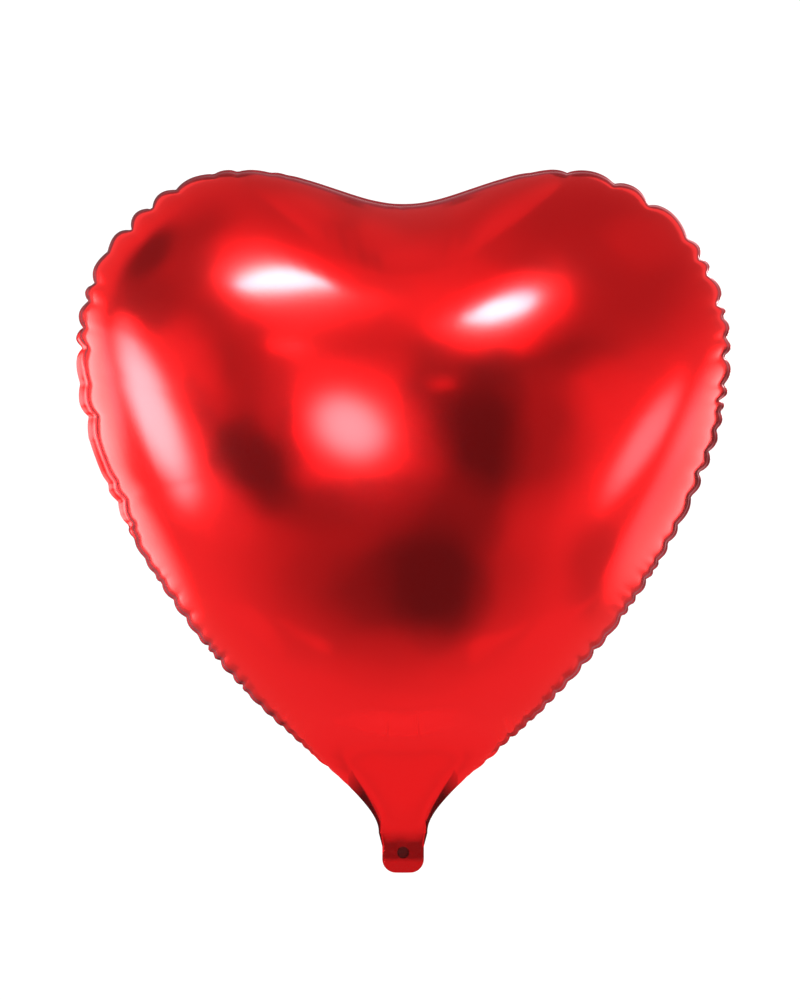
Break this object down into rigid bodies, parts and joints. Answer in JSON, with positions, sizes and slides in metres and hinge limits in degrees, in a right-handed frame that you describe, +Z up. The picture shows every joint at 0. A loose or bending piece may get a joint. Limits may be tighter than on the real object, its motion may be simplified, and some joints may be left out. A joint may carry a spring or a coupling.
{
  "type": "foil balloon",
  "caption": "Inflated heart-shaped foil balloon with a welded rim, a short folding tail with an inflation port, and a self-sealing film valve inside",
  "frame": {"origin": "middle of the neck, on the line where the tail folds", "axes": "+Z runs up from the neck to the lobes, -Y is the front, +X is to the right as seen from the front"},
  "size_m": [0.383, 0.1772, 0.4124],
  "materials": {
    "red_foil": "metallised plastic film, mirror-bright red outside",
    "sealant": "heat-fused inner coating of the foil",
    "clear_film": "clear soft plastic film"
  },
  "bodies": {
    "envelope": {"front_panel": "red_foil", "back_panel": "red_foil", "rim_seal": "sealant", "neck_weld_front": "sealant", "neck_weld_back": "sealant", "valve_root_front": "clear_film", "valve_root_back": "clear_film"},
    "tail": {"tail_front": "red_foil", "tail_back": "red_foil", "tail_seal": "sealant", "valve_lip_front": "clear_film", "valve_lip_back": "clear_film"},
    "tongue_front": {"valve_tongue_front": "clear_film"},
    "tongue_back": {"valve_tongue_back": "clear_film"}
  },
  "joints": [
    {"name": "tail_fold", "type": "hinge", "parent": "envelope", "child": "tail", "pos_m": [0, 0, 0], "axis": [1, 0, 0], "range_deg": [-90, 90]},
    {"name": "valve_open", "type": "hinge", "parent": "envelope", "child": "tongue_front", "pos_m": [0, 0, 0.0143], "axis": [1, 0, 0], "range_deg": [0, 5], "stiffness_Nm_per_rad": 0.0005},
    {"name": "valve_open_back", "type": "hinge", "parent": "envelope", "child": "tongue_back", "pos_m": [0, 0, 0.0143], "axis": [1, 0, 0], "range_deg": [-5, 0], "stiffness_Nm_per_rad": 0.0005}
  ],
  "couplings": [
    {"joint": "valve_open_back", "follows": "valve_open", "ratio": -1}
  ]
}
